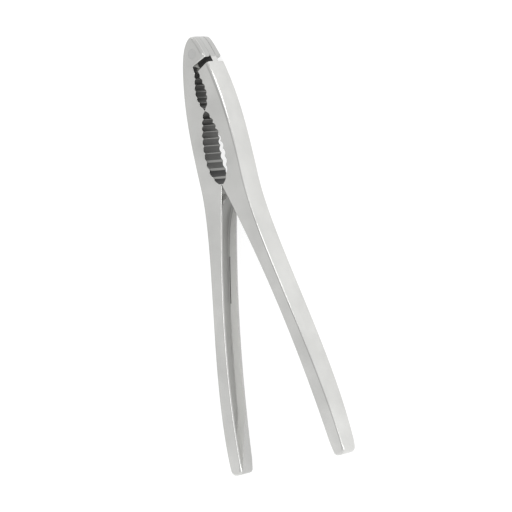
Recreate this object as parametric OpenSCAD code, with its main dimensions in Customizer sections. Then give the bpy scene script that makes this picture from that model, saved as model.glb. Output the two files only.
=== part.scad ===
// Nutcracker: two cast arms joined by a fork-and-tongue hinge, closed, lying on its back face.
// Distances along the arms are counted from the hinge axis, with the head towards +Y.

/* [Arms] */
// Thickness of both arms at the head and jaws
arm_thick = 10.9; // [10.2:0.1:12]
// Distance from the hinge axis to the handle tips, along the length
handle_reach = 168.1; // [160:0.1:180]
// Half of the width across the two handle tips
tip_half_width = 28.75; // [26:0.05:31]
// Half of the width across the closed jaws
jaw_half_width = 11; // [10:0.1:12]
// How much each face closes in at the handle tips
tip_thinning = 1.35; // [0.5:0.05:1.8]

/* [Hinge] */
// Height of the crown of the head above the hinge axis
crown_height = 7.4; // [7:0.1:8]
// Radius of the pivot pin
pin_r = 2; // [1.6:0.1:2.2]
// Radial clearance of the pin in the tongue
pin_clearance = 0.05; // [0.02:0.01:0.09]
// Thickness of the tongue
tongue_thick = 3.55; // [3:0.05:3.8]
// Clearance between the tongue and each cheek
cheek_clearance = 0.08; // [0.05:0.01:0.15]
// Radius of the slot floor behind the tongue
slot_floor_r = 5; // [4.95:0.01:5.1]
// Radius of the tongue's round end
tongue_r = 4.75; // [4.6:0.01:4.8]

/* [Jaws] */
// Distance from the hinge axis to the pinch between the two nut spaces
pinch_reach = 23.4; // [23:0.1:24]
// Distance from the hinge axis to the lower corner of the jaws
corner_reach = 53.9; // [52:0.1:56]
// Depth of the small nut space in each jaw, to its grooves
small_space_depth = 2.9; // [2.5:0.05:3.2]
// Depth of the large nut space in each jaw, to its grooves
large_space_depth = 5.3; // [4:0.1:5.6]
// Depth of the grooves in the small nut space
small_tooth_depth = 0.65; // [0.4:0.05:0.9]
// Depth of the grooves in the large nut space
large_tooth_depth = 0.85; // [0.6:0.05:1.2]
// Gap between the closed jaws
jaw_gap = 0.1; // [0.06:0.01:0.2]

/* [Handles] */
// Width of the rims on both sides of the handle channel
rim_width = 1; // [0.8:0.1:1.6]
// Depth of the handle channel along most of its length
channel_depth = 3.6; // [2.5:0.1:3.8]

/* [Hidden] */

eps = 0.5;                       // overrun of every cut
hinge_y = (handle_reach - crown_height) / 2;
slot_thick = tongue_thick + 2 * cheek_clearance;
slot_side = 215;                 // direction of the slot's far side, seen from the hinge axis
slot_low = (arm_thick - slot_thick) / 2;
slot_high = slot_low + slot_thick;

curve_steps = 14;                // straight pieces in each long curve
groove_steps = 6;                // straight pieces in each groove

// Cubic curve through p[0] and p[3], pulled towards p[1] and p[2]
function bezier(p, t) = pow(1 - t, 3) * p[0] + 3 * pow(1 - t, 2) * t * p[1]
    + 3 * (1 - t) * t * t * p[2] + pow(t, 3) * p[3];
function curve(p, from = 0, to = 1, steps = curve_steps) =
    [for (i = [0:steps]) bezier(p, from + (to - from) * i / steps)];
function arc(c, r, from, to, steps = 6) = [for (i = [0:steps])
    let (a = from + (to - from) * i / steps) c + r * [cos(a), sin(a)]];
function mirrored(points) = [for (p = points) [-p[0], p[1]]];
function reversed(points) = [for (i = [len(points) - 1:-1:0]) points[i]];

// Outline of the right-hand arm: outer edge, then the tip, then the inner edge
neck = [6.4, -3.3];              // where the head runs into the outer edge of an arm
waist = [jaw_half_width + 0.1, -53.3];
tip_outer_r = 2.4;
tip_inner_r = 1.2;
tip_width = 5.5;
tip_outer = [tip_half_width, -handle_reach + tip_outer_r];
tip_inner = [tip_half_width - tip_width, -handle_reach + tip_inner_r];
outer_jaw = [neck, [jaw_half_width + 0.15, -20.3], [jaw_half_width + 0.15, -35.3], waist];
outer_handle = [waist, [jaw_half_width + 0.3, -80], [tip_half_width - 1.1, -127.5], tip_outer];
jaw_corner = [jaw_gap / 2, -corner_reach];
inner_handle = [jaw_corner, [8.5, -corner_reach - 26.4], [tip_half_width - 9.15, -121.3], tip_inner];
tip_points = concat(arc(tip_inner + [tip_inner_r, 0], tip_inner_r, 180, 270),
    arc(tip_outer - [tip_outer_r, 0], tip_outer_r, 270, 360));
outer_points = concat(reversed(curve(outer_handle)), reversed(curve(outer_jaw)));

// One groove of a jaw, from the ridge at (x0, y0) towards the ridge at (x1, y1)
function groove(y0, y1, x0, x1, depth) = [for (i = [0:groove_steps - 1])
    let (f = i / groove_steps) [x0 + (x1 - x0) * f + depth * 4 * f * (1 - f), y0 + (y1 - y0) * f]];

// Small nut space: even grooves upwards from just above the pinch
small_pitch = 2.43;
small_grooves = 6;
small_lead = 1.3;                // plain flank between the pinch and the first ridge
small_mouth = 0.95;              // depth of the grooves where the space runs out at the top
small_top = 6.3;
function small_line(y) = let (t = min(1, max(0, (-y - small_top) / (pinch_reach - small_top))))
    small_mouth + (small_space_depth - small_mouth) * pow(sin(180 * pow(t, 1.25)), 1.3)
    - small_tooth_depth;
function small_y(j) = -pinch_reach + small_lead + small_pitch * j;
small_points = [for (j = [0:small_grooves - 1]) let (a = small_y(j), b = small_y(j + 1))
    each groove(a, b, small_line(a), small_line(b), small_tooth_depth)];

// Large nut space: grooves that get coarser from the pinch to the lower corner
large_grooves = 10;
large_lead = 0.027;              // share of the space taken up by the flank beside the pinch
pitch_evenness = 0.68;           // 1 gives equal grooves
pinch_land = 0.1;                // half-height of the flat that meets the other jaw
large_top = -pinch_reach - pinch_land;
large_length = corner_reach - pinch_reach - pinch_land;
function large_share(j) = let (t = j / large_grooves)
    j == 0 ? 0 : large_lead + (1 - large_lead) * (pitch_evenness * t + (1 - pitch_evenness) * t * t);
function large_line(s) = jaw_gap / 2
    + (large_space_depth - large_tooth_depth) * pow(max(0, sin(180 * pow(s, 1.357))), 0.55);
large_points = [for (j = [0:large_grooves - 1]) let (a = large_share(j), b = large_share(j + 1))
    each groove(large_top - large_length * a, large_top - large_length * b,
        large_line(a), large_line(b), large_tooth_depth)];

// Inner edge of an arm from the pinch down; the small nut space is added above it
inner_points = concat([[jaw_gap / 2, -pinch_reach + pinch_land]], large_points, curve(inner_handle));

// Head of the closed tool: both flanks run up to a crown that leans to the tongue side
crown = [1.1, crown_height];
left_flank = [[-neck[0], neck[1]], [-5.2, 0.7], [-3.3, crown_height - 1.4], crown];
right_flank = [crown, [2.8, crown_height - 0.25], [4.5, 3], neck];
cheek_end = 0.97;                // share of the right flank that belongs to the cheeks
cheek_corner = [-1.3, -4.9];     // where the cheeks' lower edge meets the left jaw
shoulder = [0.9, -7.4];          // upper inner corner of the right jaw
shoulder_slope = 0.46;

fork_plan = concat(curve(left_flank), curve(right_flank, 0.08, cheek_end), [cheek_corner],
    mirrored(concat(reversed(small_points), inner_points, tip_points, outer_points)));

tongue_left = curve(left_flank, 0.42, 1);
tongue_start = (atan2(tongue_left[0][1], tongue_left[0][0]) + 360) % 360;
tongue_plan = concat([shoulder], reversed([for (p = small_points) if (p[1] < shoulder[1] - 0.2) p]),
    inner_points, tip_points, outer_points, reversed(curve(right_flank)), reversed(tongue_left),
    arc([0, 0], tongue_r, tongue_start + 4, 258, 12));

// Side view of an arm, seen along X: flat to the handles, then thinning to a rounded tip
thin_start = 93;
thin_steps = 12;
tip_side_r = 1.3;
function thinning(y) = tip_thinning * pow(max(0, (-y - thin_start) / (handle_reach - thin_start)), 3);
tip_y = -handle_reach + tip_side_r;
function side_low(inset) = [for (i = [0:thin_steps])
    let (y = -thin_start + (tip_y + thin_start) * i / thin_steps) [y, thinning(y) + inset]];
function side_tip(inset) = arc([tip_y, thinning(tip_y) + tip_side_r + inset], tip_side_r, 270, 180);
function side_half(inset) = concat([[crown_height + 1, inset]], side_low(inset), side_tip(inset));
function flipped(points) = [for (p = reversed(points)) [p[0], arm_thick - p[1]]];

module side_view(inset = 0) {
    half = side_half(inset);
    rotate([90, 0, 90])
        translate([0, 0, -tip_half_width - 2])
            linear_extrude(2 * tip_half_width + 4)
                polygon(concat(half, flipped(half)));
}

// Channel along the inner side of the right-hand handle, run out at both ends
channel_from = 0.055;
channel_to = 0.985;
channel_run = 0.16;
channel_steps = 24;
function ramp(f) = f <= 0 ? 0 : f >= 1 ? 1 : sin(90 * f);
function channel_at(t) = (channel_depth + 0.8 * t) * ramp((t - channel_from) / channel_run)
    * ramp((channel_to - t) / (channel_run / 2));
channel_floor = [for (i = [0:channel_steps])
    let (t = channel_from + (channel_to - channel_from) * i / channel_steps)
    bezier(inner_handle, t) + [channel_at(t), 0]];
channel_mouth = [for (p = curve(inner_handle, channel_from, channel_to)) p - [1.5, 0]];

module channel() {
    intersection() {
        linear_extrude(arm_thick)
            polygon(concat(channel_floor, reversed(channel_mouth)));
        side_view(rim_width);
    }
}

// One arm as a plain thick plate of the given outline, thinned towards its tip
module plate(plan) {
    intersection() {
        linear_extrude(arm_thick)
            polygon(plan);
        side_view();
    }
}

// Left-hand arm: two cheeks with a slot between them for the tongue
module fork_arm() {
    reach = 14;
    color("silver")
    translate([0, hinge_y, 0])
    difference() {
        plate(fork_plan);
        translate([0, 0, slot_low])
            cylinder(r = slot_floor_r, h = slot_thick, $fn = 96);
        translate([0, 0, slot_low])
            linear_extrude(slot_thick)
                polygon([[0, 0], reach * [cos(slot_side), sin(slot_side)], [-reach, reach], [reach, reach],
                    [reach, -slot_floor_r], [0, -slot_floor_r]]);
        translate([0, 0, -eps])
            cylinder(r = pin_r, h = arm_thick + 2 * eps, $fn = 72);
        mirror([1, 0, 0])
            channel();
    }
}

// Right-hand arm: the tongue turns on the pin between the cheeks
module tongue_arm() {
    reach = 14;
    side_cut = slot_low + cheek_clearance;
    head_zone = [shoulder, shoulder + reach * [1, shoulder_slope],
        [reach, reach], [-reach, reach], [-reach, shoulder[1]]];
    color("silver")
    translate([0, hinge_y, 0])
    difference() {
        plate(tongue_plan);
        for (z = [-eps, side_cut + tongue_thick])
            translate([0, 0, z])
                linear_extrude(side_cut + eps)
                    polygon(head_zone);
        translate([0, 0, -eps])
            cylinder(r = pin_r + pin_clearance, h = arm_thick + 2 * eps, $fn = 72);
        channel();
    }
}

// Pin: pressed into both cheeks, ends flush with them
module pivot_pin() {
    color("gainsboro")
    translate([0, hinge_y, 0])
        cylinder(r = pin_r, h = arm_thick, $fn = 72);
}

fork_arm();
tongue_arm();
pivot_pin();
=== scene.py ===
import math

import bmesh
import bpy
from mathutils import Matrix, Vector
from mathutils.geometry import interpolate_bezier


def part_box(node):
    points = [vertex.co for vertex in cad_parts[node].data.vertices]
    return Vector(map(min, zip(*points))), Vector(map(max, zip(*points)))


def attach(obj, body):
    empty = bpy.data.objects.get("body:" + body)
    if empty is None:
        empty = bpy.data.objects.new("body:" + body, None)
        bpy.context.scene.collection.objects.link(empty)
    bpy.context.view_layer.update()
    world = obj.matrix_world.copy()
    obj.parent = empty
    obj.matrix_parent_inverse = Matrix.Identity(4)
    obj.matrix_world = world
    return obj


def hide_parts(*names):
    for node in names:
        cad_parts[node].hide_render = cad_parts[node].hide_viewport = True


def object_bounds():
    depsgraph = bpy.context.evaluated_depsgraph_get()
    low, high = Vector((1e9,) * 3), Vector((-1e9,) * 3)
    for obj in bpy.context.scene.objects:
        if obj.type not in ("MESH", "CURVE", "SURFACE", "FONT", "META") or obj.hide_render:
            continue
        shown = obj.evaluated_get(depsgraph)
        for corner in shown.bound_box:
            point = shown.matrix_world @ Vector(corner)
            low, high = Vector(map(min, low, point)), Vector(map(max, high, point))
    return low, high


# a nutcracker: two polished cast arms that turn on a pin, shown closed and lying on its back face
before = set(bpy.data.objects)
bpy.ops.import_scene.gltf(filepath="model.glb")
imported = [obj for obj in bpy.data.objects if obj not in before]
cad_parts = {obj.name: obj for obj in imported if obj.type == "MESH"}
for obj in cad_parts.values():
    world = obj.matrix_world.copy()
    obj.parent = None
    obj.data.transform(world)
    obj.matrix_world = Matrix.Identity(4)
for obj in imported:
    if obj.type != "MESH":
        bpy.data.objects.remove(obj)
cadLow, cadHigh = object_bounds()
pinLow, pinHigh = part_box("pivot_pin")
mm = 0.001

# the hinge is in metres, and all else is in millimetres from it, with the head towards +Y
hinge = (pinLow + pinHigh) / 2
thickness = (pinHigh.z - pinLow.z) / mm
crownHeight = (cadHigh.y - hinge.y) / mm
handleReach = (hinge.y - cadLow.y) / mm
tipHalfWidth = cadHigh.x / mm
pinRadius = (pinHigh.x - pinLow.x) / 2 / mm
print("frame: arms", round(thickness, 2), "mm thick, handles", round(handleReach, 1), "mm long")

cameraSetup = {
    "target": (0.0, -0.0813, 0.0054),      # from the hinge axis
    "turn": 36.69,          # degrees from straight above, towards the right arm
    "tilt": 3.57,           # degrees towards the handle tips
    "roll": -12.79,
    "distance": 0.8909,
    "aside": (0.00435, -0.0019),   # how far the view axis passes the target, to the right and up
    "lens": 156.97,
}


def placeCamera(setup):
    turn, tilt, roll = (math.radians(setup[k]) for k in ("turn", "tilt", "roll"))
    toCamera = Vector((math.sin(turn) * math.cos(tilt), -math.sin(tilt), math.cos(turn) * math.cos(tilt)))
    level = Vector((0, 1, 0)).cross(toCamera).normalized()
    upright = toCamera.cross(level)
    right = level * math.cos(roll) + upright * math.sin(roll)
    up = upright * math.cos(roll) - level * math.sin(roll)
    camera = bpy.data.objects.new("camera", bpy.data.cameras.new("camera"))
    bpy.context.scene.collection.objects.link(camera)
    place = Vector((0, hinge.y, 0)) + Vector(setup["target"]) + toCamera * setup["distance"]
    place += right * setup["aside"][0] + up * setup["aside"][1]
    camera.matrix_world = Matrix.Translation(place) @ Matrix((right, up, toCamera)).transposed().to_4x4()
    camera.data.lens = setup["lens"]
    camera.data.clip_start = 0.05
    bpy.context.scene.camera = camera


lightSetup = {
    # brightness of the world from the horizon up to straight above
    "levels": [(0.0, 0.8), (0.42, 1.0), (0.6, 0.72), (0.67, 0.74), (0.76, 0.91), (1.0, 0.60)],
    "lengthwise": (-0.3, 1.0, 1.18, 0.4),   # it is brighter past the handle tips than past the head
    "beyondHead": (0.2, 0.5, 0.8),          # and turns to one even level beyond the head
    "softboxes": [                          # name, place, width, height, power
        ("innerRimSoftbox", (0.78, -0.26, 0.33), 0.42, 0.4, 1.1),
        ("outerEdgeSoftbox", (0.79, 0.38, 0.32), 0.2, 0.42, 0.8),
        ("headSoftbox", (0.1, 0.9, 0.5), 0.6, 0.25, 0.6),
    ],
}


def lightScene(setup):
    scene = bpy.context.scene
    scene.view_settings.view_transform = "Standard"
    world = bpy.data.worlds.new("studio")
    scene.world = world
    world.use_nodes = True
    nodes, links = world.node_tree.nodes, world.node_tree.links
    coordinates = nodes.new("ShaderNodeTexCoord")
    direction = nodes.new("ShaderNodeSeparateXYZ")
    ramp = nodes.new("ShaderNodeValToRGB")
    links.new(coordinates.outputs["Generated"], direction.inputs[0])
    links.new(direction.outputs["Z"], ramp.inputs["Fac"])
    ramp.color_ramp.interpolation = "EASE"
    for at, level in setup["levels"][1:-1]:
        ramp.color_ramp.elements.new(at)
    for stop, (at, level) in zip(ramp.color_ramp.elements, setup["levels"]):
        stop.position = at
        stop.color = (level, level, level, 1)
    lengthwise = nodes.new("ShaderNodeMapRange")
    for end, value in zip(("From Min", "From Max", "To Min", "To Max"), setup["lengthwise"]):
        lengthwise.inputs[end].default_value = value
    links.new(direction.outputs["Y"], lengthwise.inputs["Value"])
    level = nodes.new("ShaderNodeMath")
    level.operation = "MULTIPLY"
    links.new(ramp.outputs["Color"], level.inputs[0])
    links.new(lengthwise.outputs["Result"], level.inputs[1])
    beyond = nodes.new("ShaderNodeMapRange")
    beyond.interpolation_type = "SMOOTHSTEP"
    for end, value in zip(("From Min", "From Max"), setup["beyondHead"]):
        beyond.inputs[end].default_value = value
    links.new(direction.outputs["Y"], beyond.inputs["Value"])
    blend = nodes.new("ShaderNodeMix")
    links.new(beyond.outputs["Result"], blend.inputs["Factor"])
    links.new(level.outputs["Value"], blend.inputs["A"])
    blend.inputs["B"].default_value = setup["beyondHead"][2]
    nodes["Background"].inputs["Color"].default_value = (1, 1, 1, 1)
    links.new(blend.outputs["Result"], nodes["Background"].inputs["Strength"])
    for name, place, width, tall, power in setup["softboxes"]:
        light = bpy.data.lights.new(name, "AREA")
        light.shape = "RECTANGLE"
        light.size, light.size_y = width, tall
        light.energy = power
        lamp = bpy.data.objects.new(name, light)
        lamp.location = place
        lamp.rotation_euler = (-Vector(place)).to_track_quat("-Z", "Y").to_euler()
        scene.collection.objects.link(lamp)


floorSetup = {
    "radius": 6.0,
    "whiteness": 0.3,
    "glow": 0.82,
    "below": 0.00002,       # the tool lies this much above it
}


def makeFloor(setup):
    mesh = bpy.data.meshes.new("floor")
    bm = bmesh.new()
    bmesh.ops.create_circle(bm, cap_ends=True, segments=96, radius=setup["radius"])
    bm.to_mesh(mesh)
    bm.free()
    floor = bpy.data.objects.new("floor", mesh)
    bpy.context.scene.collection.objects.link(floor)
    floor.location.z = cadLow.z - setup["below"]
    material = bpy.data.materials.new("pale_floor")
    material.use_nodes = True
    shader = material.node_tree.nodes["Principled BSDF"]
    level = setup["whiteness"]
    shader.inputs["Base Color"].default_value = (level, level, level, 1)
    shader.inputs["Roughness"].default_value = 0.9
    shader.inputs["Emission Color"].default_value = (1, 1, 1, 1)
    shader.inputs["Emission Strength"].default_value = setup["glow"]
    mesh.materials.append(material)


placeCamera(cameraSetup)
lightScene(lightSetup)
makeFloor(floorSetup)
print("camera, lights and floor ready")


# how coarse each pattern is, shared by all the finishes
patternScales = {"cloud": 90, "grain": 2500, "waves": 45, "stain": 70}
polishSetup = {
    "colour": (0.645, 0.645, 0.63, 1),
    "roughness": (0.13, 0.24),
    "wave": 0.0002,         # height of the slow unevenness left by hand polishing, in metres
    "grain": 0.0000008,     # height of the fine polishing lines
    "stain": (0.84, 1.16),  # how far the colour is darkened and lightened in slow patches
}
castSetup = {
    "colour": (0.15, 0.15, 0.145, 1),
    "roughness": (0.42, 0.6),
    "wave": 0.00002,
    "grain": 0.000008,
}
# a lighter copy for the trough's walls, as painted light
channelWallLightSetup = {
    "colour": (0.86, 0.86, 0.84, 1),
    "roughness": (0.4, 0.52),
    "wave": 0.00006,
    "grain": 0.000004,
    "metallic": 0.3,
}
# a darker copy for the trough's floor and its fillets, as painted shade
channelFloorShadeSetup = {
    "colour": (0.42, 0.42, 0.41, 1),
    "roughness": (0.45, 0.58),
    "wave": 0.00006,
    "grain": 0.000006,
    "metallic": 0.5,
}
# the ridges: lighter than the cast grooves, partly from wear and partly as a painted highlight
ridgeWearAndHighlightSetup = {
    "colour": (0.32, 0.32, 0.31, 1),
    "roughness": (0.28, 0.4),
    "wave": 0.00002,
    "grain": 0.000003,
}
pinSetup = {
    "colour": (0.60, 0.60, 0.59, 1),
    "roughness": (0.15, 0.25),
    "wave": 0.00001,
    "grain": 0.000001,
}
paintedShadeColour = (0.5, 0.5, 0.49, 1)      # painted shade: a darker copy of the polish for the walls of the head's crown, flanks and cheek end and the inner faces of the handles
recessShadeColour = (0.08, 0.08, 0.08, 1)    # painted shade: near black, of the slot, the steps round the tongue, the trough's slit and the deepest grooves


def makeMetal(name, setup, stretch):
    material = bpy.data.materials.new(name)
    material.use_nodes = True
    nodes, links = material.node_tree.nodes, material.node_tree.links
    shader = nodes["Principled BSDF"]
    shader.inputs["Metallic"].default_value = setup.get("metallic", 1.0)
    place = nodes.new("ShaderNodeTexCoord")
    stretched = nodes.new("ShaderNodeMapping")
    stretched.inputs["Scale"].default_value = stretch
    links.new(place.outputs["Object"], stretched.inputs["Vector"])

    def noise(scale, detail, vector):
        texture = nodes.new("ShaderNodeTexNoise")
        texture.inputs["Scale"].default_value = scale
        texture.inputs["Detail"].default_value = detail
        links.new(vector, texture.inputs["Vector"])
        return texture.outputs["Fac"]

    cloud = noise(patternScales["cloud"], 4, place.outputs["Object"])
    grain = noise(patternScales["grain"], 2, stretched.outputs["Vector"])
    waves = noise(patternScales["waves"], 1, place.outputs["Object"])
    patches = noise(patternScales["stain"], 3, place.outputs["Object"])

    stain = nodes.new("ShaderNodeMix")
    stain.data_type = "RGBA"
    stain.clamp_factor = False
    for end, share in zip("AB", setup.get("stain", (0.95, 1.05))):
        stain.inputs[end].default_value = tuple(c * share for c in setup["colour"][:3]) + (1,)
    links.new(patches, stain.inputs["Factor"])
    links.new(stain.outputs["Result"], shader.inputs["Base Color"])

    spread = nodes.new("ShaderNodeMapRange")
    spread.inputs["From Min"].default_value = 0.3
    spread.inputs["From Max"].default_value = 0.7
    spread.inputs["To Min"].default_value, spread.inputs["To Max"].default_value = setup["roughness"]
    links.new(cloud, spread.inputs["Value"])
    links.new(spread.outputs["Result"], shader.inputs["Roughness"])

    slow = nodes.new("ShaderNodeBump")
    slow.inputs["Distance"].default_value = setup["wave"]
    links.new(waves, slow.inputs["Height"])
    fine = nodes.new("ShaderNodeBump")
    fine.inputs["Distance"].default_value = setup["grain"]
    links.new(grain, fine.inputs["Height"])
    links.new(slow.outputs["Normal"], fine.inputs["Normal"])
    links.new(fine.outputs["Normal"], shader.inputs["Normal"])
    return material


polished = makeMetal("polished_alloy", polishSetup, (1, 0.05, 1))
asCast = makeMetal("as_cast_alloy", castSetup, (1, 1, 1))
paintedShade = makeMetal("painted_shade_alloy", {**polishSetup, "colour": paintedShadeColour}, (1, 0.05, 1))
recessShade = makeMetal("recess_painted_shade_alloy", {**castSetup, "colour": recessShadeColour}, (1, 1, 1))
channelWallPaintedLight = makeMetal("channel_wall_painted_light_alloy", channelWallLightSetup, (1, 0.3, 1))
channelFloorPaintedShade = makeMetal("channel_floor_painted_shade_alloy", channelFloorShadeSetup, (1, 0.3, 1))
wornRidgeAndHighlight = makeMetal("worn_ridge_and_highlight_alloy", ridgeWearAndHighlightSetup, (1, 1, 0.3))
pinSteel = makeMetal("pin_steel", pinSetup, (1, 1, 1))
armMaterials = [polished, asCast, channelWallPaintedLight, wornRidgeAndHighlight, channelFloorPaintedShade, paintedShade, recessShade]
print("finishes ready")


# outlines are drawn for the right-hand arm, in millimetres from the hinge axis
armShape = {
    "neck": (6.4, -3.3),            # where the head runs into the outer edge
    "waist": (11.1, -53.3),         # where the jaw runs into the handle
    "jawBulge": 11.15,              # the outer edge of the jaw is drawn towards this width
    "tipWidth": 5.5,
    "backRounding": 0.6,            # most that the back rim is rounded off, except at the tips
    "crownWidth": 0.35,             # how much the outer wall draws in at its front edge
    "backShare": 0.4,               # and this share of it at its back edge
}
jawShape = {
    "gap": 0.1,
    "pinch": 23.4,                  # where the jaws almost touch between the two nut spaces
    "corner": 53.9,                 # where they almost touch below the large one
    "pinchLand": 0.1,
    "smallTop": 6.3,
    "smallDepth": 2.9,
    "smallEnd": 0.95,               # half the width of the small space at its ends
    "smallTooth": 0.65,
    "smallPitch": 2.43,
    "smallRidges": 7,
    "firstRidge": 1.3,
    "largeDepth": 5.3,
    "largeTooth": 0.85,
    "largeGrooves": 10,
    "firstGroove": 0.027,           # the first large groove's extra share of the length
    "coarsening": 0.32,             # how much the large grooves get longer towards the corner
    "largeLean": 1.357,             # the large space is widest below its middle
    "largeFullness": 0.55,
}
headShape = {
    "crownLean": 1.1,               # the crown's highest point is this far to the right
    "cheekCorner": (-1.3, -4.9),
    "shoulder": (0.9, -7.4),
    "shoulderSlope": 0.46,
    "tongueRadius": 4.75,
    "tongueEnd": 258,               # direction where the tongue's round end stops, in degrees
    "tongueSteps": 14,
    "tongueStart": 0.43,            # the share of the left flank that the tongue leaves out
}
curveSteps = 28
fineSteps = 400                     # for places looked up along the inner edge


def stroke(a, b, c, d, steps=curveSteps):
    # points on a curve from a to d, drawn towards b and c
    return [(p.x, p.y) for p in interpolate_bezier(*(Vector(p) for p in (a, b, c, d)), steps + 1)]


def pointAt(radius, turn):
    return (radius * math.cos(turn), radius * math.sin(turn))


def tagged(points, tag):
    return [(x, y, tag) for x, y in points]


def flipped(points):
    return [(-p[0],) + tuple(p[1:]) for p in points]


def groovePoints(y0, x0, y1, x1, depth, steps=6):
    # one scooped groove from the ridge at y0 up to the ridge at y1, without that ridge
    points = [(x0, y0, "ridge")]
    for i in range(1, steps):
        f = i / steps
        points.append((x0 + (x1 - x0) * f + depth * 4 * f * (1 - f), y0 + (y1 - y0) * f, "groove"))
    return points


def smallSpace():
    # even grooves, from just above the pinch upwards
    top, pinch, end = (jawShape[k] for k in ("smallTop", "pinch", "smallEnd"))

    def line(y):
        t = min(1, max(0, (-y - top) / (pinch - top)))
        swell = math.sin(math.pi * t ** 1.25) ** 1.3 if 0 < t < 1 else 0
        return end + (jawShape["smallDepth"] - end) * swell - jawShape["smallTooth"]

    first, pitch = jawShape["firstRidge"] - pinch, jawShape["smallPitch"]
    ridges = [first + pitch * j for j in range(jawShape["smallRidges"])]
    points = []
    for y0, y1 in zip(ridges, ridges[1:]):
        points += groovePoints(y0, line(y0), y1, line(y1), jawShape["smallTooth"])
    return points


def largeSpace():
    # grooves that get coarser from the pinch down to the lower corner of the jaws
    top = -jawShape["pinch"] - jawShape["pinchLand"]
    length = jawShape["corner"] + top
    depth = jawShape["largeDepth"] - jawShape["largeTooth"]
    first, coarsening = jawShape["firstGroove"], jawShape["coarsening"]

    def share(j):
        t = j / jawShape["largeGrooves"]
        return 0 if j == 0 else first + (1 - first) * ((1 - coarsening) * t + coarsening * t * t)

    def line(s):
        swell = max(0, math.sin(math.pi * min(1, s) ** jawShape["largeLean"]))
        return depth * swell ** jawShape["largeFullness"] + jawShape["gap"] / 2

    points = []
    for j in range(jawShape["largeGrooves"]):
        a, b = share(j), share(j + 1)
        groove = groovePoints(top - length * a, line(a), top - length * b, line(b), jawShape["largeTooth"])
        if j == 0 or j > 6:
            groove[0] = groove[0][:2] + ("land" if j == 0 else "broadRidge",)
        # the grooves nearest the corner are tagged for the near-black painted shade
        if j > 7:
            groove[1:] = [(x, y, "deepGroove") for x, y, tag in groove[1:]]
        points += groove
    return points


def handleInner(steps=curveSteps):
    # the inner edge of the handle, from the corner of the jaws to the tip
    start = (jawShape["gap"] / 2, -jawShape["corner"])
    end = (tipHalfWidth - armShape["tipWidth"], -handleReach)
    return stroke(start, (8.5, -jawShape["corner"] - 26.4), (tipHalfWidth - 9.15, -121.3), end, steps)


def armOutline():
    # from the pinch down the inner edge, round the tip and up the outer edge to the neck
    gap = jawShape["gap"] / 2
    bulge = armShape["jawBulge"]
    outerHandle = stroke(armShape["waist"], (bulge + 0.15, -80), (tipHalfWidth - 1.1, -127.5),
                         (tipHalfWidth, -handleReach))
    outerJaw = stroke(armShape["neck"], (bulge, -20.3), (bulge, -35.3), armShape["waist"])
    inner = handleInner()
    points = [(gap, -jawShape["pinch"] + jawShape["pinchLand"], "land")] + largeSpace()
    points += [inner[0] + ("corner",)] + tagged(inner[1:-1], "inner") + [inner[-1] + ("tipInner",)]
    points += [outerHandle[-1] + ("tipOuter",)] + tagged(outerHandle[-2:0:-1], "outer")
    points += tagged(outerJaw[:0:-1], "outer") + [outerJaw[0] + ("neck",)]
    return points


crown = (headShape["crownLean"], crownHeight)
neckOut, neckHeight = armShape["neck"]
leftFlank = stroke((-neckOut, neckHeight), (-5.2, 0.7), (-3.3, crownHeight - 1.4), crown)
rightFlank = stroke(crown, (2.8, crownHeight - 0.25), (4.5, 3.0), (neckOut, neckHeight))


def forkOutline():
    arm = flipped(armOutline())
    points = arm + tagged(leftFlank[1:-1], "head") + [leftFlank[-1] + ("crown",)]
    points += tagged(rightFlank[1:-2], "flank")
    points += [rightFlank[-2] + ("cheekEnd",), headShape["cheekCorner"] + ("cheek",)]
    return points + flipped(smallSpace())[::-1]


def tongueOutline():
    top = headShape["shoulder"][1] - 0.2
    teeth = [p for p in smallSpace() if p[1] < top]
    rounded = leftFlank[round(headShape["tongueStart"] * len(leftFlank)):]
    radius, steps = headShape["tongueRadius"], headShape["tongueSteps"]
    start = math.atan2(rounded[0][1], rounded[0][0]) % math.tau
    end = math.radians(headShape["tongueEnd"])
    turns = [start + (end - start) * f / steps for f in range(1, steps + 1)]
    roundEnd = [pointAt(radius, turn) for turn in turns]
    points = [(x, y, "shoulderEdge" if tag in ("outer", "neck") and y > shoulderFade["from"] else tag)
              for x, y, tag in armOutline()]
    points += tagged(rightFlank[-2:0:-1], "flank") + [rightFlank[0] + ("crown",)]
    points += tagged(rounded[-2::-1], "head")
    points += tagged(roundEnd, "tongue") + [headShape["shoulder"] + ("shoulder",)]
    return points + teeth[::-1]


def newObject(name, bm, *materials):
    mesh = bpy.data.meshes.new(name)
    bm.normal_update()
    bm.to_mesh(mesh)
    bm.free()
    piece = bpy.data.objects.new(name, mesh)
    bpy.context.scene.collection.objects.link(piece)
    for material in materials:
        mesh.materials.append(material)
    return piece


# how far the rim is rounded off beside each stretch of the outline, in millimetres
rimRounding = {
    "land": 0.1, "ridge": 0.18, "broadRidge": 0.2, "groove": 0.25, "deepGroove": 0.25,
    "corner": 0.3, "inner": 0.4, "tipInner": 1.2, "tipOuter": 1.2, "outer": 0.5, "neck": 0.5,
    "shoulderEdge": 1.3, "head": 0.5, "flank": 1.4, "crown": 0.8, "cheekEnd": 0.7, "cheek": 0.3,
    "tongue": 0.3, "shoulder": 0.3,
}
# and how far along the edge each corner of the outline is cut back for its own rounding
cornerRounding = {
    "ridge": 0.25, "broadRidge": 0.6, "tipInner": 1.5, "tipOuter": 2.4, "corner": 0.5,
    "crown": 1.2, "cheek": 0.4, "cheekEnd": 1.0, "shoulder": 0.6, "land": 0.07,
}
fullTags = ("outer", "neck", "shoulderEdge", "head", "flank", "crown")     # walls that are full, not flat
tipTags = ("tipInner", "tipOuter")
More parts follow.
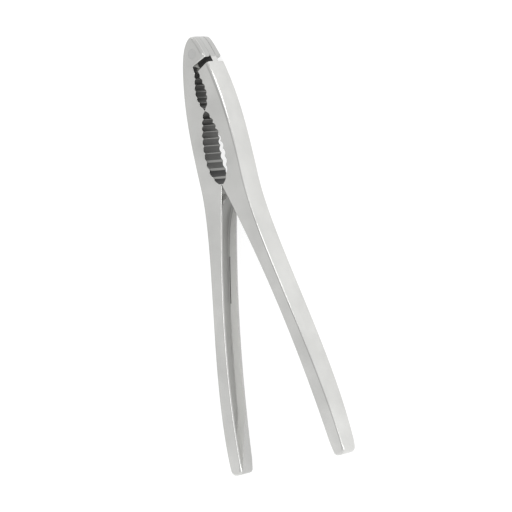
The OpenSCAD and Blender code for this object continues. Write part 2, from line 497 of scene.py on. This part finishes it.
# walls beside these tags get the darker copy of the polish, as painted shade
paintedShadeTags = ("flank", "crown", "cheekEnd", "inner", "corner", "tipInner")
ridgeTags = ("ridge", "broadRidge")
toothTags = ridgeTags + ("groove", "deepGroove", "land")
shoulderFade = {"from": -45, "length": 30}
thinning = {"from": 93.0, "amount": 1.35, "stations": 22}
wallSteps = {"rim": 5, "wall": 10}


def thinned(y):
    t = max(0, (-y - thinning["from"]) / (handleReach - thinning["from"]))
    return thinning["amount"] * t ** 3


def eased(values, corners, reach=1.2):
    # each value becomes the mean of its neighbours along the outline, so that nothing changes abruptly
    count = len(values)
    result = []
    for i in range(count):
        total, weight = values[i], 1.0
        for step in (1, -1):
            run, j = 0.0, i
            while True:
                n = (j + step) % count
                run += (corners[n] - corners[j]).length
                if run > reach:
                    break
                share = 1 - run / reach
                total, weight, j = total + values[n] * share, weight + share, n
        result.append(total / weight)
    return result


def rimAt(tag, y):
    # the edge beside the shoulder is soft, and gets crisper down the jaw
    if tag == "shoulderEdge":
        share = min(1, max(0, (y - shoulderFade["from"]) / shoulderFade["length"]))
        return rimRounding["outer"] + (rimRounding[tag] - rimRounding["outer"]) * share
    return rimRounding[tag]


def backRimAt(tag, y):
    return rimRounding[tag] if tag in tipTags else min(rimAt(tag, y), armShape["backRounding"])


def roomForCorners(outline):
    # plain points that stand within a corner's rounding, or a little past it, are left out
    count = len(outline)
    crowded = set()
    for i, corner in enumerate(outline):
        size = cornerRounding.get(corner[2], 0) * 1.1
        for step in (1, -1):
            j = (i + step) % count
            while size and outline[j][2] not in cornerRounding:
                if math.dist(corner[:2], outline[j][:2]) >= size:
                    break
                crowded.add(j)
                j = (j + step) % count
    return [p for i, p in enumerate(outline) if i not in crowded]


def outlineFace(bm, outline, tags, kind):
    # one flat face with its corners rounded, on which every vertex keeps the number of its tag
    for x, y, tag in outline:
        bm.verts.new((x, y, 0))[kind] = tags.index(tag)
    bm.faces.new(bm.verts)
    for tag, size in cornerRounding.items():
        corners = [v for v in bm.verts if v[kind] == tags.index(tag)]
        if corners:
            rounded = bmesh.ops.bevel(bm, geom=corners, offset=size, affect="VERTICES", segments=4,
                                      profile=0.5, material=-1, clamp_overlap=True)
            for v in rounded["verts"]:
                v[kind] = tags.index(tag)
    face = bm.faces[:][0]
    face.normal_update()
    if face.normal.z < 0:
        face.normal_flip()
    return face


def inwardDirections(corners):
    # for each corner, the way and the length to draw it in so that both its walls move by one unit
    count = len(corners)
    inward = []
    for i in range(count):
        before = (corners[i] - corners[i - 1]).normalized()
        after = (corners[(i + 1) % count] - corners[i]).normalized()
        a, b = Vector((-before.y, before.x)), Vector((-after.y, after.x))
        inward.append((a + b) / max(0.4, 1 + a.dot(b)))
    return inward


def raiseWalls(bm, face, tags, kind):
    # the face is raised step by step, drawn in where a rim is rounded off and where a wall is full
    corners = [v.co.xy for v in face.verts]
    kinds = [tags[v[kind]] for v in face.verts]
    inward = inwardDirections(corners)
    front = eased([rimAt(k, c.y) for k, c in zip(kinds, corners)], corners)
    back = eased([backRimAt(k, c.y) for k, c in zip(kinds, corners)], corners)
    full = eased([armShape["crownWidth"] if k in fullTags else 0 for k in kinds], corners)
    rim, wall = wallSteps["rim"], wallSteps["wall"]
    rings = [("back", math.radians(90 * i / rim)) for i in range(rim + 1)]
    rings += [("wall", i / wall) for i in range(1, wall)]
    rings += [("front", math.radians(90 * i / rim)) for i in range(rim, -1, -1)]
    for number, (where, step) in enumerate(rings):
        if number:
            raised = bmesh.ops.extrude_face_region(bm, geom=[face])
            if number > 1:
                bmesh.ops.delete(bm, geom=[face], context="FACES_ONLY")
            face = [f for f in raised["geom"] if isinstance(f, bmesh.types.BMFace)][0]
        for i, v in enumerate(face.verts):
            if where == "wall":
                draw, z = 0, back[i] + (thickness - back[i] - front[i]) * step
            else:
                radius = back[i] if where == "back" else front[i]
                draw, z = radius * (1 - math.sin(step)), radius * (1 - math.cos(step))
            z = thickness - z if where == "front" else z
            lean = 2 * z / thickness - 1
            draw += full[i] * lean ** 4 * (1 if lean > 0 else armShape["backShare"])
            v.co = (*(corners[i] + inward[i] * draw), z)
    bmesh.ops.recalc_face_normals(bm, faces=bm.faces[:])


def giveFinishesAndPaintedShade(bm, tags, kind):
    # the grooved walls of the nut spaces keep their dark casting skin, the deepest grooves get near-black
    # painted shade, and the ridges are lighter, partly worn and partly a painted highlight; the walls of
    # the crown, flanks, cheek end and handle insides get the darker polish as painted shade
    ridge, deep, cast, shade = (armMaterials.index(m) for m in (wornRidgeAndHighlight, recessShade, asCast, paintedShade))
    for f in bm.faces:
        around = [tags[v[kind]] for v in f.verts]
        if abs(f.normal.z) < 0.5 and all(k in toothTags for k in around):
            f.material_index = deep if "deepGroove" in around else cast
            if all(k in ridgeTags for k in around):
                f.material_index = ridge
        elif abs(f.normal.z) < 0.3 and all(k in paintedShadeTags for k in around):
            f.material_index = shade


def thinHandle(bm):
    # slices across the handle let it thin towards the tip
    for i in range(thinning["stations"] + 1):
        y = -thinning["from"] - (handleReach - thinning["from"] - 1) * i / thinning["stations"]
        bmesh.ops.bisect_plane(bm, geom=bm.verts[:] + bm.edges[:] + bm.faces[:], dist=0.0001,
                               plane_co=(0, y, 0), plane_no=(0, 1, 0))
    for v in bm.verts:
        drop = thinned(v.co.y)
        v.co.z = drop + v.co.z * (thickness - 2 * drop) / thickness


def toFrame(bm):
    # from millimetres round the hinge axis to the frame's metres
    bmesh.ops.scale(bm, verts=bm.verts[:], vec=(mm, mm, mm))
    bmesh.ops.translate(bm, verts=bm.verts[:], vec=(0, hinge.y, cadLow.z))


def armSolid(name, outline):
    # the whole arm before its slot, step, bore and trough are cut
    bm = bmesh.new()
    tags = sorted(rimRounding)
    kind = bm.verts.layers.int.new("kind")
    face = outlineFace(bm, roomForCorners(outline), tags, kind)
    raiseWalls(bm, face, tags, kind)
    giveFinishesAndPaintedShade(bm, tags, kind)
    thinHandle(bm)
    toFrame(bm)
    for f in bm.faces:
        f.smooth = True
    return newObject(name, bm, *armMaterials)


def cutter(name, bm, *materials):
    bmesh.ops.recalc_face_normals(bm, faces=bm.faces[:])
    toFrame(bm)
    return newObject(name, bm, *materials)


def prism(name, points, low, high, material):
    bm = bmesh.new()
    bm.faces.new([bm.verts.new((x, y, low)) for x, y in points])
    raised = bmesh.ops.extrude_face_region(bm, geom=bm.faces[:])
    lifted = [v for v in raised["geom"] if isinstance(v, bmesh.types.BMVert)]
    bmesh.ops.translate(bm, verts=lifted, vec=(0, 0, high - low))
    return cutter(name, bm, material)


def drum(name, radius, low, high, material, segments=96):
    bm = bmesh.new()
    bmesh.ops.create_cone(bm, cap_ends=True, segments=segments, radius1=radius, radius2=radius,
                          depth=high - low)
    bmesh.ops.translate(bm, verts=bm.verts[:], vec=(0, 0, (low + high) / 2))
    return cutter(name, bm, material)


def joinRings(bm, rings):
    # walls from each ring to the next, numbered round the ring, and a cap at both ends
    walls = []
    for a, b in zip(rings, rings[1:]):
        for k in range(len(a)):
            n = (k + 1) % len(a)
            walls.append((k, bm.faces.new((a[k], a[n], b[n], b[k]))))
    bm.faces.new(rings[0][::-1])
    bm.faces.new(rings[-1])
    return walls


# places and lengths along the handle are shares of its inner edge
channelShape = {
    "rim": 1.0,
    "depth": 3.6,
    "deeper": 0.8,          # how much deeper it gets towards the tip
    "from": 0.055,
    "to": 0.985,
    "arch": 0.055,          # length of its arched upper end
    "runIn": 0.16,          # length over which its floor comes down to full depth
    "runOut": 0.16,         # length over which it narrows to a point
    "sharpening": 0.3,      # length over which its fillet goes from the first size to the second
    "fillet": (1.1, 0.3),
    "endHeight": 0.5,       # what is left of its height at the point
    "overshoot": 2.0,       # the cutter stands out this far from the inner edge
    "sections": 60,
}


def channelCutter(name, side):
    # a rounded trough that follows the inner edge of a handle, with an arched upper end; its floor gets a
    # darker copy as painted shade and its walls a lighter copy as painted light
    shape = channelShape
    inner = handleInner(fineSteps)
    bm = bmesh.new()
    rings = []
    for i in range(shape["sections"] + 1):
        # the sections stand closer together at both ends
        f = 0.3 * i / shape["sections"] + 0.7 * (1 - math.cos(math.pi * i / shape["sections"])) / 2
        t = shape["from"] + (shape["to"] - shape["from"]) * f
        at = int(t * fineSteps)
        x, y = Vector(inner[at]).lerp(Vector(inner[at + 1]), t * fineSteps - at)
        upper = min(1, (t - shape["from"]) / shape["arch"])
        lower = min(1, (shape["to"] - t) / shape["runOut"])
        swell = math.sqrt(max(0.0004, 1 - (1 - upper) ** 2))
        rampUp = math.sin(math.pi / 2 * min(1, (t - shape["from"]) / shape["runIn"] + 0.08))
        depth = (shape["depth"] + shape["deeper"] * t) * rampUp
        half = (thickness / 2 - thinned(y) - shape["rim"]) * swell
        back = max(half * (2 * lower ** 0.8 - 1), shape["endHeight"] - half)    # the back wall closes in
        sharpening = min(1, (t - shape["from"]) / shape["sharpening"])
        fillet = shape["fillet"][0] * (1 - sharpening) + shape["fillet"][1] * sharpening
        fillet = min(fillet, (half + back) * 0.45, depth * 0.9)
        section = []
        for height, way in ((-back, 1), (half, -1)):
            wall = [(x - shape["overshoot"], height), (x + depth - fillet, height)]
            for k in range(1, 5):
                turn = math.radians(22.5 * k)
                wall.append((x + depth - fillet + fillet * math.sin(turn),
                             height + way * fillet * (1 - math.cos(turn))))
            section += wall[::way]
        rings.append([bm.verts.new((sx * side, y, thickness / 2 + sz)) for sx, sz in section])
    for k, face in joinRings(bm, rings):
        # the floor and its fillets get the painted shade, the walls the painted light
        face.material_index = 1 if 1 <= k <= len(section) - 3 else 0
    return cutter(name, bm, channelWallPaintedLight, channelFloorPaintedShade)


slitShape = {
    "from": 0.3,
    "to": 0.47,
    "width": 0.34,
    "depth": 0.45,
    "clear": 0.35,          # how far it stays from the trough's floor
    "above": 0.6,           # the cutter reaches this far up from the back wall
    "steps": 12,
}


def slitCutter(name, side):
    # a fine slit along the foot of the trough's back wall, lined with near-black painted shade so that the
    # corner shows as a dark line
    shape = slitShape
    inner = handleInner(fineSteps)
    bm = bmesh.new()
    rings = []
    for i in range(shape["steps"] + 1):
        t = shape["from"] + (shape["to"] - shape["from"]) * i / shape["steps"]
        x, y = inner[round(t * fineSteps)]
        far = x + channelShape["depth"] + channelShape["deeper"] * t - shape["clear"]
        near = far - shape["width"]
        low, high = channelShape["rim"] - shape["depth"], channelShape["rim"] + shape["above"]
        section = [(near, high), (near, low), (far, low), (far, high)]
        rings.append([bm.verts.new((sx * side, y, sz)) for sx, sz in section])
    joinRings(bm, rings)
    return cutter(name, bm, recessShade)


def carve(piece, cutters, fineEdge=0.08):
    # takes the cutters out of the piece, then breaks the fresh edges
    for tool in cutters:
        cut = piece.modifiers.new(tool.name, "BOOLEAN")
        cut.operation = "DIFFERENCE"
        cut.solver = "EXACT"
        cut.material_mode = "TRANSFER"
        cut.object = tool
    edges = piece.modifiers.new("fine_edges", "BEVEL")
    edges.limit_method = "ANGLE"
    edges.angle_limit = math.radians(48)
    edges.width = fineEdge * mm
    edges.segments = 2
    edges.use_clamp_overlap = True
    normals = piece.modifiers.new("even_faces", "WEIGHTED_NORMAL")
    normals.keep_sharp = False
    normals.weight = 60
    bpy.context.view_layer.update()
    shaped = bpy.data.meshes.new_from_object(piece.evaluated_get(bpy.context.evaluated_depsgraph_get()))
    piece.modifiers.clear()
    piece.data = shaped
    for tool in cutters:
        bpy.data.objects.remove(tool)
    return piece


hingeShape = {
    "tongueThickness": 3.55,
    "cheekClearance": 0.08,
    "backSeam": 0.12,       # extra gap behind the tongue, so that its seam shows
    "slotFloor": 5,         # radius of the slot's floor
    "slotSide": 215,        # direction of the slot's far side, seen from the hinge axis, in degrees
    "pinClearance": 0.05,
    "reach": 14,            # the cutters reach this far past the head
}
slotLow = (thickness - hingeShape["tongueThickness"]) / 2 - hingeShape["cheekClearance"]
slotHigh = thickness - slotLow


def makeForkArm():
    arm = armSolid("fork_arm_cast", forkOutline())
    reach, floorRadius, side = (hingeShape[k] for k in ("reach", "slotFloor", "slotSide"))
    slot = [pointAt(floorRadius, math.radians(a)) for a in range(side, 271, 5)]
    slot += [(reach, -floorRadius), (reach, reach), (-reach, reach), pointAt(reach, math.radians(side))]
    tools = [
        prism("slot", slot, slotLow, slotHigh, recessShade),
        drum("pin_bore", pinRadius, -1, thickness + 1, asCast, 72),
        channelCutter("left_channel", -1),
        slitCutter("channel_slit", -1),
    ]
    carve(arm, tools)
    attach(arm, "fork")
    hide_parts("fork_arm")
    return arm


def makeTongueArm():
    arm = armSolid("tongue_arm_cast", tongueOutline())
    tongueBack = slotLow + hingeShape["cheekClearance"]
    tongueFront = tongueBack + hingeShape["tongueThickness"]
    reach = hingeShape["reach"]
    x, y = headShape["shoulder"]
    slope = (x + reach, y + reach * headShape["shoulderSlope"])
    zone = [(x, y), slope, (reach, reach), (-reach, reach), (-reach, y)]
    tools = [
        prism("back_step", zone, -1, tongueBack + hingeShape["backSeam"], recessShade),
        prism("front_step", zone, tongueFront, thickness + 1, recessShade),
        drum("pin_bore", pinRadius + hingeShape["pinClearance"], -1, thickness + 1, asCast, 72),
        channelCutter("right_channel", 1),
    ]
    carve(arm, tools)
    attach(arm, "tongue")
    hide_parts("tongue_arm")
    return arm


pinShape = {"slack": 0.01, "chamfer": 0.03}


def makePin():
    bm = bmesh.new()
    radius = (pinRadius - pinShape["slack"]) * mm
    bmesh.ops.create_cone(bm, cap_ends=True, segments=72, radius1=radius, radius2=radius,
                          depth=thickness * mm)
    rims = [e for e in bm.edges if abs(e.verts[0].co.z - e.verts[1].co.z) < 1e-6]
    bmesh.ops.bevel(bm, geom=rims, offset=pinShape["chamfer"] * mm, affect="EDGES", segments=2, profile=0.5,
                    material=-1)
    bmesh.ops.translate(bm, verts=bm.verts[:], vec=hinge)
    pin = newObject("pivot_pin_turned", bm, pinSteel)
    for face in pin.data.polygons:
        face.use_smooth = abs(face.normal.z) < 0.9
    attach(pin, "fork")
    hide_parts("pivot_pin")
    return pin


makeForkArm()
print("fork arm ready")
makeTongueArm()
print("tongue arm ready")
makePin()
print("pin ready")
